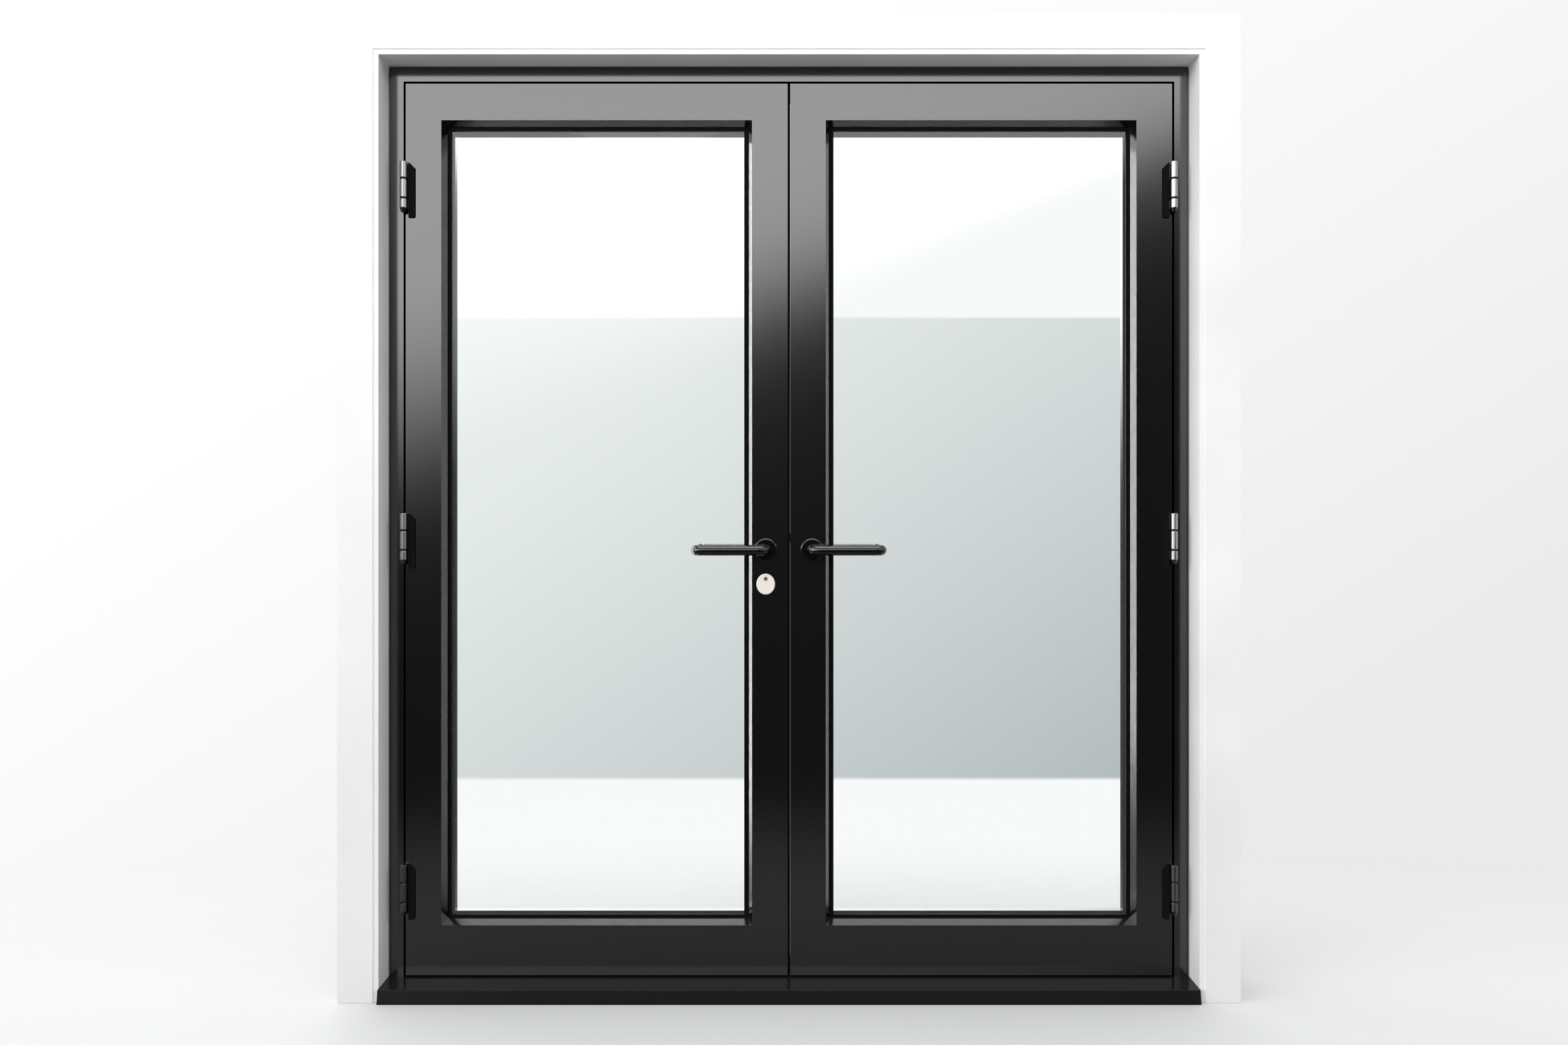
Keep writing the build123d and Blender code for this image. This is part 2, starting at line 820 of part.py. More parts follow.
with BuildPart() as plug:
    rod_along_y(plug_radius, spindle_x, (0, leaf_depth), cylinder_z)
    rod_along_y(plug_nose_radius, spindle_x, (-plug_nose, leaf_depth + plug_nose), cylinder_z)
    cam = (mid_depth - cam_width / 2, mid_depth + cam_width / 2)
    rod_along_y(cam_radius, spindle_x, cam, cylinder_z)
    block(
        (spindle_x - cam_lug_width / 2, spindle_x + cam_lug_width / 2),
        cam,
        (cylinder_z, cylinder_z + cam_lug_reach),
    )
    for mouth, depth in ((-plug_nose, key_slot_depth), (leaf_depth + plug_nose, -key_slot_depth)):
        block(
            (spindle_x - key_slot_width / 2, spindle_x + key_slot_width / 2),
            sorted((mouth - depth, mouth + depth)),
            (cylinder_z - key_slot_height / 2, cylinder_z + key_slot_height / 2),
            Mode.SUBTRACT,
        )
save(plug, "cylinder_plug")

def escutcheon(front, face_index):
    """An oval plate with a softened rim and a round hole for the plug's nose."""
    back = front + escutcheon_thickness
    with BuildPart() as piece:
        seat = Plane(origin=(spindle_x, back, escutcheon_z), x_dir=(1, 0, 0), z_dir=(0, -1, 0))
        with BuildSketch(seat):
            Ellipse(escutcheon_width / 2, escutcheon_height / 2)
        extrude(amount=escutcheon_thickness)
        face = piece.faces().filter_by(Plane.XZ).sort_by(Axis.Y)[face_index]
        fillet(face.edges(), escutcheon_round)
        hole = plug_nose_radius + fit
        rod_along_y(hole, spindle_x, (front - margin, back + margin), cylinder_z, Mode.SUBTRACT)
    return piece.part


with BuildPart() as escutcheons:
    add(escutcheon(-escutcheon_thickness, 0))
    add(escutcheon(leaf_depth, -1))
save(escutcheons, "left_escutcheons")

# The right leaf: the alike pieces mirrored, then its own stile, rails, gearbox and bolts
for name, piece in twins.items():
    save(piece, f"left_{name}")
    with BuildPart() as twin:
        mirror(piece.part, about=Plane.YZ)
    save(twin, f"right_{name}")

rod_hole = rod_radius + fit
strike_middle = (latch_z + deadbolt_z) / 2
strike_foot, strike_top = strike_middle - strike_height / 2, strike_middle + strike_height / 2
with BuildPart() as strike_stile:
    add(lock_stile.part)
    lock_cuts(strike_foot, strike_top)
with BuildPart() as right_lock_stile:
    mirror(strike_stile.part, about=Plane.YZ)
save(right_lock_stile, "right_lock_stile")

for name, blank in (("top_rail", top_rail), ("bottom_rail", bottom_rail), ("corner_cleats", leaf_cleats)):
    with BuildPart() as drilled:
        mirror(blank.part, about=Plane.YZ)
        rod_along_z(rod_hole, rod_x, mid_depth, (0, head_z), Mode.SUBTRACT)
    save(drilled, f"right_{name}")

with BuildPart() as strike:
    block(
        (leaf_inside, leaf_inside + faceplate_thickness),
        (mid_depth - faceplate_width / 2, mid_depth + faceplate_width / 2),
        (strike_foot, strike_top),
    )
    bolt_holes((0, leaf_inside + faceplate_thickness + margin))
save(strike, "right_strike_plate")

gearbox_x = (leaf_inside + gearbox_setback, -case_x + case_depth)
gearbox_z = (spindle_height - gearbox_below, spindle_height + gearbox_above)
with BuildPart() as gearbox:
    block(gearbox_x, case_y, gearbox_z)
    block(
        (gearbox_x[0] + case_wall, gearbox_x[1] - case_wall),
        (case_y[0] + case_wall, case_y[1] - case_wall),
        (gearbox_z[0] + case_wall, gearbox_z[1] - case_wall),
        Mode.SUBTRACT,
    )
    rod_along_y(spindle_hole, -spindle_x, (0, leaf_depth), spindle_height, Mode.SUBTRACT)
    rod_along_z(rod_hole, rod_x, mid_depth, (leaf_foot, leaf_top), Mode.SUBTRACT)
save(gearbox, "right_gearbox")

with BuildPart() as top_bolt:
    reach = (spindle_height + rod_start_above, leaf_top + bolt_throw_above_leaf)
    rod_along_z(rod_radius, rod_x, mid_depth, reach)
    chamfer(top_bolt.edges().group_by(Axis.Z)[-1], rod_chamfer)
save(top_bolt, "top_shoot_bolt")

with BuildPart() as bottom_bolt:
    reach = (leaf_foot - bolt_throw_below_leaf, spindle_height - rod_start_below)
    rod_along_z(rod_radius, rod_x, mid_depth, reach)
    chamfer(bottom_bolt.edges().group_by(Axis.Z)[0], rod_chamfer)
save(bottom_bolt, "bottom_shoot_bolt")
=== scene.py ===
"""French doors in a painted frame: finishes, small pieces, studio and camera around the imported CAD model."""

from math import pi

import bpy
import numpy as np
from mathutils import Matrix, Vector


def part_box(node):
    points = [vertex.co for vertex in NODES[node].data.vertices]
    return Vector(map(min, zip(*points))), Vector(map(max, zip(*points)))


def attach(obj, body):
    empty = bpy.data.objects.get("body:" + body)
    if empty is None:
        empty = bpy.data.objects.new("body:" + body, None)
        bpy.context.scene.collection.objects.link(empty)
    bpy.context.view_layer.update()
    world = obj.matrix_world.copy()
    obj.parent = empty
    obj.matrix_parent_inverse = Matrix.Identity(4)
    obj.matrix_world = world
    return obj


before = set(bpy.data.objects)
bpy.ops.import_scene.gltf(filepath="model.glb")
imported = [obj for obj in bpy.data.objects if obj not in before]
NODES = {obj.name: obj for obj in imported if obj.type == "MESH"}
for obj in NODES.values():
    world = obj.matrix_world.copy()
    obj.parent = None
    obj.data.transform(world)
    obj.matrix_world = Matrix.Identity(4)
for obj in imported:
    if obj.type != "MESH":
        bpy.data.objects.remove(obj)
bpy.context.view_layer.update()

bl_info = {
    "name": "French doors",
    "version": (1, 0, 0),
    "blender": (4, 5, 0),
    "location": "3D View > Sidebar > French doors",
    "description": "Finishes, small pieces, studio and camera for a pair of glazed doors",
    "category": "Object",
}

# Colours of small or hidden parts, in scene linear light
SILL_BLACK = (0.01, 0.01, 0.01)
# Near black of the hinge leaves, their own finish that also paints the knuckles' shadow on them
PLATE_BLACK_AND_SHADOW = (0.004, 0.004, 0.004)
WASHER_BLACK = (0.01, 0.01, 0.01)
PIN_METAL = (0.1, 0.1, 0.1)
SPACER_METAL = (0.3, 0.3, 0.31)
# The cylinder's nickel is darker than the escutcheons' as painted shade, so that its keyhole reads dark
CYLINDER_NICKEL_AND_SHADE = (0.42, 0.4, 0.37)
FIBRE_DARK = (0.004, 0.004, 0.004)
FIBRE_PALE = (0.02, 0.02, 0.02)

# Share of its brightness that metal loses between its lines
STREAK = 0.25

# Axis of the hinges, and how far from it their black plates begin and are full, in metres
# The plates are the real hinge leaves; their near black also paints the knuckles' shadow on them
HINGE_X = 0.8645
HINGE_Y = -0.0095
PLATE_EDGE = (0.0083, 0.0088)

# Heights between which the hinge metal brightens, and its shares of full brightness below and above them
# The darker metal low down is painted shade, standing in for the dimmer reflections of the lower hinges
HINGE_SHADE_HEIGHTS = (0.5, 0.9)
SHADED_DULL = 0.16
SHADED_SHINY = 0.3
HIGH_DULL = 0.45

# The brush between the leaves, in metres
BRUSH_END_GAP = 0.002
BRUSH_WIDTH = 0.0058
BRUSH_FRONT = 0.0605
BRUSH_BACK = 0.0645
TUFT_PITCH = 0.003
TUFT_DEPTH = 0.0006

# The floor's height, and its points along a side
FLOOR_HEIGHT = -0.0005
FLOOR_POINTS = 9

# The floor fades out over these distances from the middle of the doors. To the front they are counted from
# this far behind their face, and sideways and to the back each metre counts as much as is given
FLOOR_FADE = (0.8, 2.6)
FLOOR_FRONT = 0.2
FLOOR_SIDEWAYS = 0.6
FLOOR_BACKWARD = 1.8

# Share of the floor's brightness that reflections and soft light see
UNSEEN_FLOOR = 0.24

# Directions of light run from -1 to 1: x to the right, y to the back and z up. The dark at eye level ends
# at an edge, whose height and softness change sideways as far as its reach
EDGE_HEIGHT = 0.183
EDGE_SLOPE = 0.33
EDGE_REACH = 0.35
EDGE_SOFTNESS = 0.043
EDGE_SHARPENS = -0.16
LEAST_SOFTNESS = 0.02

# Heights over which the light above loses this share of its strength
CROWN_HEIGHTS = (0.33, 0.5)
CROWN_LOSS = 0.88

# Where the two strips in the left side's light begin and are full: towards the back, and at the far left
BACK_STRIP = (0.25, 0.5)
LEFT_STRIP = (-0.86, -0.93)

# The roof begins and is full at these heights, is duller in its middle by this share, and is this many times
# as strong as the strips
ROOF_EDGE = (0.74, 0.82)
ROOF_MIDDLE = (0.88, 0.96)
ROOF_LOSS = 0.3
ROOF_GAIN = 1.8

# The soft lights at both sides: sideways, from the foot up, and from the top down. Under them is the
# ground's light
SIDE_LIGHT = (0.5, 0.8)
SIDE_FOOT = (-0.3, 0.05)
SIDE_TOP = (0.7, 0.4)
GROUND_LIGHT = (0.0, -0.2)

# What is seen through the panes, as rises and sweeps per metre ahead, and where the view ends
LEAST_AHEAD = 0.3
BAND_FOOT = (-0.198, -0.194)
BAND_TOP = (0.161, 0.158)
BAND_ENDS = (0.62, 0.42)
BAND_FRONT = (-0.1, 0.1)
BAND_PALE = (0.82, 0.855, 0.84)
BAND_GREY = (0.32, 0.36, 0.4)
GREY_START = 0.25
GREY_RISE = -1.4
GREY_SWEEP = 0.95

# Towards the far left, what rays through glass meet grows brighter by this many times its strength
GLARE_BEGINS = (-0.6, -0.75)
GLARE_GAIN = 4.2

# The backdrop that the camera sees turns slightly from white to the colour of its painted shade, low down and
# at the right
WHITE = (1.0, 1.0, 1.0)
BACKDROP_SHADE_COLOUR = (0.0, 0.02, 0.08)
DULL_START = 0.08
DULL_RISE = -0.22
DULL_SWEEP = 0.14
DULL_MOST = 0.18

# The lamp above the doors, in metres
LAMP_SIZE = 2.4
LAMP_PLACE = (-0.5, -1.9, 3.5)
LAMP_AIM = (0.0, 0.0, 1.0)

# The camera's film width in millimetres, and the nearest that it sees in metres
FILM_WIDTH = 36.0
NEAREST = 0.05


def colour(name, description, default):
    """A colour property in scene linear light."""
    return bpy.props.FloatVectorProperty(
        name=name, description=description, default=default, size=3, min=0, max=1, subtype="COLOR")


def share(name, description, default):
    """A property from 0 to 1."""
    return bpy.props.FloatProperty(
        name=name, description=description, default=default, min=0, max=1, subtype="FACTOR")


def length(name, description, default):
    """A length in metres."""
    return bpy.props.FloatProperty(
        name=name, description=description, default=default, unit="LENGTH", subtype="DISTANCE")


class DoorFinishes(bpy.types.PropertyGroup):
    """Colours and gloss of the doors' own finishes."""

    door_black: colour("Door black", "Satin powder coat on the leaves and the frame", (0.002, 0.002, 0.002))
    door_roughness: share("Door roughness", "Roughness of the powder coat", 0.13)
    sill_roughness: share("Sill roughness", "Roughness of the coated sill", 0.16)
    casing_white: colour("Casing white", "Satin paint on the casing and the lining", (0.8, 0.8, 0.81))
    seal_black: colour(
        "Seal black", "Rubber of the glazing gaskets and the weather seals", (0.002, 0.002, 0.002))
    glass_tint: colour("Glass tint", "Faint cool tint of the panes", (0.985, 0.995, 0.99))
    hinge_metal: colour("Hinge metal", "Brushed steel of the hinge knuckles", (0.5, 0.5, 0.49))
    lever_black: colour(
        "Lever black", "Gloss lacquer on the levers and their roses", (0.0015, 0.0015, 0.0015))
    lever_roughness: share("Lever roughness", "Roughness of the lacquer", 0.09)
    nickel: colour("Nickel", "Pale satin nickel of the escutcheons", (0.8, 0.76, 0.69))
    steel: colour("Steel", "Plated steel of the bolts, the lock and the screws", (0.56, 0.55, 0.53))
    aluminium: colour("Aluminium", "Cast aluminium of the corner cleats", (0.6, 0.6, 0.6))


class DoorStudio(bpy.types.PropertyGroup):
    """Light round the doors and the floor under them."""

    overhead: bpy.props.FloatProperty(
        name="Overhead light", description="Strength of the broad soft light above the camera", default=4.05,
        min=0)
    side: bpy.props.FloatProperty(
        name="Side light", description="Strength of the soft light at the left", default=1.1, min=0)
    opposite: bpy.props.FloatProperty(
        name="Opposite light", description="Strength of the soft light at the right", default=0.5, min=0)
    strip: bpy.props.FloatProperty(
        name="Strip light", description="Strength of the bright strips that only gloss reflects", default=2.6,
        min=0)
    shade: bpy.props.FloatProperty(
        name="Shade", description="Strength of the dark surroundings at eye level", default=0.05, min=0)
    ground: bpy.props.FloatProperty(
        name="Ground light", description="Strength of the light from below that only soft reflections see",
        default=0.62, min=0)
    lamp: bpy.props.FloatProperty(
        name="Lamp", description="Power of the large lamp above the doors in watts", default=20.0, min=0)
    floor_colour: colour("Floor colour", "Plain pale floor", (0.74, 0.745, 0.75))
    floor_radius: length("Floor radius", "Half the width of the floor", 5.0)


class DoorCamera(bpy.types.PropertyGroup):
    """Place and lens of the camera."""

    place: bpy.props.FloatVectorProperty(
        name="Place", description="Where the camera stands", default=(-0.005, -2.919, 1.05), size=3,
        subtype="XYZ", unit="LENGTH")
    lens: bpy.props.FloatProperty(
        name="Lens", description="Focal length in millimetres", default=29.79, min=10)
    shift_x: bpy.props.FloatProperty(
        name="Shift X", description="Sideways shift of the picture", default=-0.0017)
    shift_y: bpy.props.FloatProperty(
        name="Shift Y", description="Upward shift of the picture", default=0.0013)


def node(tree, kind, *sources, **values):
    """Adds a shader node. Its sources go into its inputs in order: a socket is linked and a number is set.
    Its values name a property of the node, or an input by its label with spaces as underscores."""
    made = tree.nodes.new("ShaderNode" + kind)
    for name, value in values.items():
        if hasattr(made, name):
            setattr(made, name, value)
    for i, source in enumerate(sources):
        join(tree, source, made.inputs[i])
    for name, value in values.items():
        if not hasattr(made, name):
            join(tree, value, made.inputs[name.replace("_", " ")])
    return made


def join(tree, source, socket):
    """Links a socket, or sets a plain value."""
    if isinstance(source, bpy.types.NodeSocket):
        tree.links.new(source, socket)
    else:
        socket.default_value = source


def maths(tree, operation, *sources, clamp=False):
    """The result of a Math node."""
    return node(tree, "Math", *sources, operation=operation, use_clamp=clamp).outputs[0]


def ramp(tree, value, low, high):
    """Runs smoothly from 0 at low to 1 at high, so it falls where low is the larger number."""
    made = node(tree, "MapRange", interpolation_type="SMOOTHSTEP")
    join(tree, value, made.inputs[0])
    for i, number in ((1, low), (2, high), (3, 0.0), (4, 1.0)):
        join(tree, number, made.inputs[i])
    return made.outputs[0]


def blend(tree, share_of_second, first, second):
    """A colour between two colours."""
    made = node(tree, "Mix", data_type="RGBA")
    join(tree, share_of_second, made.inputs[0])
    join(tree, (*first, 1) if isinstance(first, tuple) else first, made.inputs[6])
    join(tree, (*second, 1) if isinstance(second, tuple) else second, made.inputs[7])
    return made.outputs[2]


def noise(tree, place, scale, detail, stretch=(1, 1, 1)):
    """Noise on a piece's own coordinates, with scale features a metre. It is drawn out along an axis where
    its stretch is under 1."""
    mapped = node(tree, "Mapping", place, Scale=stretch).outputs[0]
    return node(tree, "TexNoise", mapped, Scale=scale, Detail=detail).outputs[0]


def start_material(name):
    """An empty node material: (material, tree, Object coordinates, its Principled node)."""
    made = bpy.data.materials.new(name)
    made.use_nodes = True
    tree = made.node_tree
    tree.nodes.clear()
    shader = tree.nodes.new("ShaderNodeBsdfPrincipled")
    end = tree.nodes.new("ShaderNodeOutputMaterial")
    tree.links.new(shader.outputs[0], end.inputs[0])
    place = tree.nodes.new("ShaderNodeTexCoord").outputs["Object"]
    return made, tree, place, shader


def coat(name, base, roughness, grain, peel, scuff, gloss, stretch=(1, 1, 1)):
    """A painted or lacquered finish: its colour drifts by up to a tenth or so, its roughness varies in soft
    patches by the scuff to either side, and a bump of the grain's depth and the peel's scale gives its
    skin."""
    made, tree, place, shader = start_material(name)
    patches = noise(tree, place, 3.0, 3.0)
    lighter = tuple(min(1, c * 1.12) for c in base)
    darker = tuple(c * 0.9 for c in base)
    join(tree, blend(tree, patches, darker, lighter), shader.inputs["Base Color"])
    smears = noise(tree, place, 22.0, 4.0, stretch)
    spread = maths(tree, "MULTIPLY_ADD", smears, 2 * scuff, roughness - scuff, clamp=True)
    join(tree, spread, shader.inputs["Roughness"])
    skin = noise(tree, place, peel, 1.0, stretch)
    bump = node(tree, "Bump", Height=skin, Distance=grain, Strength=1.0)
    join(tree, bump.outputs[0], shader.inputs["Normal"])
    shader.inputs["Specular IOR Level"].default_value = gloss
    return made


def metal(name, base, roughness, stretch=(1, 1, 1), scale=900.0, depth=0.00001):
    """Polished or brushed metal: a fine grain varies its roughness, its colour and a slight bump. It turns
    into lines along an axis where its stretch is under 1."""
    made, tree, place, shader = start_material(name)
    lines = noise(tree, place, scale, 3.0, stretch)
    duller = tuple(c * (1 - STREAK) for c in base)
    join(tree, blend(tree, lines, duller, base), shader.inputs["Base Color"])
    spread = maths(tree, "MULTIPLY_ADD", lines, 0.5 * roughness, 0.75 * roughness, clamp=True)
    join(tree, spread, shader.inputs["Roughness"])
    bump = node(tree, "Bump", Height=lines, Distance=depth, Strength=1.0)
    join(tree, bump.outputs[0], shader.inputs["Normal"])
    shader.inputs["Metallic"].default_value = 1.0
    return made


def rubber(name, base):
    """Moulded rubber: matt, with a fine grain and slight patches."""
    made, tree, place, shader = start_material(name)
    patches = noise(tree, place, 40.0, 3.0)
    join(tree, blend(tree, patches, base, tuple(2 * c for c in base)), shader.inputs["Base Color"])
    join(tree, maths(tree, "MULTIPLY_ADD", patches, 0.2, 0.5), shader.inputs["Roughness"])
    grain = noise(tree, place, 2500.0, 1.0)
    bump = node(tree, "Bump", Height=grain, Distance=0.00003, Strength=0.6)
    join(tree, bump.outputs[0], shader.inputs["Normal"])
    shader.inputs["Specular IOR Level"].default_value = 0.05
    return made


def paint(names, material):
    """Puts a material on whole CAD nodes."""
    for name in names:
        data = NODES[name].data
        data.materials.clear()
        data.materials.append(material)


def sides(*names):
    """The left and the right node of each name."""
    return [side + name for side in ("left_", "right_") for name in names]


class DOORS_OT_casing(bpy.types.Operator):
    """Paints the casing and the lining in satin white, with the grain of the wood faintly under the paint"""

    bl_idname = "doors.casing"
    bl_label = "Paint casing and lining"

    def execute(self, context):
        white = tuple(context.scene.door_finishes.casing_white)
        skin = {"roughness": 0.38, "grain": 0.00006, "peel": 260.0, "scuff": 0.05, "gloss": 0.5}
        upright = coat("casing_white_upright", white, **skin, stretch=(1, 1, 0.06))
        across = coat("casing_white_across", white, **skin, stretch=(0.06, 1, 1))
        paint(["casing_left", "casing_right", "lining_left", "lining_right"], upright)
        paint(["casing_head", "lining_head"], across)
        return {"FINISHED"}


class DOORS_OT_coat(bpy.types.Operator):
    """Coats the frame, the leaves, the glazing beads and the sill in satin black"""

    bl_idname = "doors.coat"
    bl_label = "Coat frame, leaves and sill"

    def execute(self, context):
        finishes = context.scene.door_finishes
        black = tuple(finishes.door_black)
        satin = coat("door_black", black, finishes.door_roughness, grain=0.000001, peel=500.0, scuff=0.008,
                     gloss=1.0)
        trodden = coat("sill_black", SILL_BLACK, finishes.sill_roughness, grain=0.000002, peel=900.0,
                       scuff=0.04, gloss=0.08, stretch=(0.25, 1, 1))
        paint(sides("hinge_stile", "lock_stile", "top_rail", "bottom_rail"), satin)
        paint(sides("outer_beads", "inner_beads"), satin)
        paint(["frame_head", "frame_left_jamb", "frame_right_jamb"], satin)
        paint(["sill"], trodden)
        return {"FINISHED"}


class DOORS_OT_glaze(bpy.types.Operator):
    """Gives the panes clear cool glass, and their gaskets, spacers and the weather seals their rubber and
    metal"""

    bl_idname = "doors.glaze"
    bl_label = "Glaze"

    def execute(self, context):
        finishes = context.scene.door_finishes
        made, tree, place, shader = start_material("pane_glass")
        tint = tuple(finishes.glass_tint)
        waves = noise(tree, place, 0.8, 1.0)
        join(tree, blend(tree, waves, tint, tuple(0.995 * c for c in tint)), shader.inputs["Base Color"])
        shader.inputs["Transmission Weight"].default_value = 1.0
        shader.inputs["Roughness"].default_value = 0.0
        shader.inputs["IOR"].default_value = 1.45
        end = tree.nodes["Material Output"]
        clear = node(tree, "BsdfTransparent", (*tint, 1)).outputs[0]
        path = tree.nodes.new("ShaderNodeLightPath").outputs
        unseen = maths(tree, "MAXIMUM", path["Is Shadow Ray"], path["Is Diffuse Ray"])
        mixed = node(tree, "MixShader", unseen, shader.outputs[0], clear).outputs[0]
        join(tree, mixed, end.inputs[0])
        paint(sides("panes"), made)
        seal = rubber("seal_rubber", tuple(finishes.seal_black))
        paint(sides("gaskets") + ["frame_seal", "left_meeting_seal"], seal)
        spacer = metal("spacer_metal", SPACER_METAL, 0.4, stretch=(0.2, 1, 0.2), scale=1500.0)
        paint(sides("spacer"), spacer)
        return {"FINISHED"}


class DOORS_OT_hinges(bpy.types.Operator):
    """Polishes the hinge knuckles, with painted shade making the lower ones darker, and blackens the leaves
    that they are fixed by, a black that also paints the knuckles' shadow on them
    """

    bl_idname = "doors.hinges"
    bl_label = "Finish hinges"

    def execute(self, context):
        finishes = context.scene.door_finishes
        bright = tuple(finishes.hinge_metal)
        for name, side in (("left_hinge_leaves", -1), ("right_hinge_leaves", 1), ("frame_hinge_leaves", 0)):
            made, tree, place, shader = start_material("hinge_" + name)
            x, y, z = node(tree, "SeparateXYZ", place).outputs
            if side == 0:
                x = maths(tree, "ABSOLUTE", x)
            beside = maths(tree, "SUBTRACT", x, HINGE_X * (side or 1))
            before = maths(tree, "SUBTRACT", y, HINGE_Y)
            reach = maths(tree, "SQRT", maths(tree, "ADD", maths(tree, "MULTIPLY", beside, beside),
                                              maths(tree, "MULTIPLY", before, before)))
            # Beyond the knuckles the leaves turn near black: their own finish, together with painted shadow of
            # the knuckles
            plate = ramp(tree, reach, *PLATE_EDGE)
            lines = noise(tree, place, 420.0, 3.0, (1, 1, 0.02))
            # Painted shade: the knuckles' metal is darker below the first height than above the second
            height = ramp(tree, z, *HINGE_SHADE_HEIGHTS)
            shaded_dull, shaded_shiny, high_dull = (
                tuple(part * c for c in bright) for part in (SHADED_DULL, SHADED_SHINY, HIGH_DULL))
            dull = blend(tree, height, shaded_dull, high_dull)
            shiny = blend(tree, height, shaded_shiny, bright)
            polished = blend(tree, lines, dull, shiny)
            join(tree, blend(tree, plate, polished, PLATE_BLACK_AND_SHADOW), shader.inputs["Base Color"])
            join(tree, maths(tree, "SUBTRACT", 1.0, plate), shader.inputs["Metallic"])
            polish = maths(tree, "MULTIPLY_ADD", lines, 0.2, 0.2)
            spread = maths(tree, "MULTIPLY_ADD", plate, 0.5, polish, clamp=True)
            join(tree, spread, shader.inputs["Roughness"])
            shader.inputs["Specular IOR Level"].default_value = 0.08
            bump = node(tree, "Bump", Height=lines, Distance=0.00002, Strength=1.0)
            join(tree, bump.outputs[0], shader.inputs["Normal"])
            paint([name], made)
        paint(["hinge_pins"], metal("hinge_pin_metal", PIN_METAL, 0.3, (1, 1, 0.1)))
        paint(["hinge_screws"], metal("screw_metal", tuple(finishes.steel), 0.3))
        paint(["hinge_washers"], rubber("washer_black", WASHER_BLACK))
        return {"FINISHED"}


class DOORS_OT_levers(bpy.types.Operator):
    """Lacquers the lever handles and their roses in gloss black"""

    bl_idname = "doors.levers"
    bl_label = "Finish levers"

    def execute(self, context):
        finishes = context.scene.door_finishes
        gloss = coat("lever_black", tuple(finishes.lever_black), finishes.lever_roughness, grain=0.000002,
                     peel=500.0, scuff=0.02, gloss=0.65)
        paint(sides("outer_lever", "inner_lever", "roses"), gloss)
        paint(sides("spindle"), metal("spindle_steel", tuple(finishes.steel), 0.35))
        return {"FINISHED"}


class DOORS_OT_lock(bpy.types.Operator):
    """Finishes the escutcheons in nickel and the cylinder in a darker nickel, painted shade for the keyhole,
    the bolts and the lock case in steel, and the cleats in cast aluminium"""

    bl_idname = "doors.lock"
    bl_label = "Finish lock and bolts"

    def execute(self, context):
        finishes = context.scene.door_finishes
        nickel = coat("satin_nickel", tuple(finishes.nickel), 0.42, grain=0.000008, peel=1800.0, scuff=0.05,
                      gloss=0.6, stretch=(0.1, 1, 1))
        steel = metal("bolt_steel", tuple(finishes.steel), 0.32, (1, 1, 0.08))
        paint(["left_escutcheons"], nickel)
        # The cylinder and its plug are a darker nickel, which is painted shade for the keyhole
        paint(["left_lock_cylinder", "cylinder_plug"], metal("cylinder_nickel_and_shade", CYLINDER_NICKEL_AND_SHADE, 0.3))
        paint(["latch_bolt", "deadbolt", "left_lock_case", "left_lock_faceplate", "right_strike_plate",
               "right_gearbox", "top_shoot_bolt", "bottom_shoot_bolt", "bolt_keeps"], steel)
        cast = metal("cast_aluminium", tuple(finishes.aluminium), 0.5, scale=300.0, depth=0.00005)
        paint(["frame_corner_cleats"] + sides("corner_cleats"), cast)
        return {"FINISHED"}


def surface(name, points, loop, material, body):
    """A piece from a grid of points, rows by columns by 3. Faces lie between neighbouring rows and columns,
    and the columns join round where loop is set. A piece with a material rides on a body and takes a slot;
    one without is left to the stage."""
    rows, columns, _ = points.shape
    i, j = np.meshgrid(np.arange(rows - 1), np.arange(columns if loop else columns - 1), indexing="ij")
    here = (i * columns + j).ravel()
    beside = (i * columns + (j + 1) % columns).ravel()
    faces = np.stack([here, beside, beside + columns, here + columns], -1)
    mesh = bpy.data.meshes.new(name)
    mesh.from_pydata(points.reshape(-1, 3).tolist(), [], faces.tolist())
    mesh.validate()
    mesh.update()
    made = bpy.data.objects.new(name, mesh)
    bpy.context.scene.collection.objects.link(made)
    if material:
        mesh.materials.append(material)
        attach(made, body)
    return made


def pile(low, high, left, right, front, back, pitch, depth):
    """A brush that closes a narrow gap: each level is a closed ring of points round a slim rectangle, and its
    front and back swing in and out by depth once every pitch of height, as tufts do. The end rings shrink to
    their middle."""
    levels = np.linspace(low, high, int((high - low) / pitch) * 2 + 1)
    levels = np.concatenate([[low], levels, [high]])
    swell = depth * (np.arange(len(levels)) % 2)
    open_share = np.ones(len(levels))
    open_share[[0, -1]] = 0.0
    middle_x, middle_y = (left + right) / 2, (front + back) / 2
    x = np.array([left, middle_x, right, right, right, middle_x, left, left]) - middle_x
    y = np.array([front, front, front, middle_y, back, back, back, middle_y]) - middle_y
    sway = np.array([-1, -1, -1, 0, 1, 1, 1, 0])
    ring_x = middle_x + open_share[:, None] * x[None, :]
    ring_y = middle_y + open_share[:, None] * (y[None, :] - sway[None, :] * swell[:, None])
    return np.stack([ring_x, ring_y, np.repeat(levels[:, None], len(x), 1)], -1)


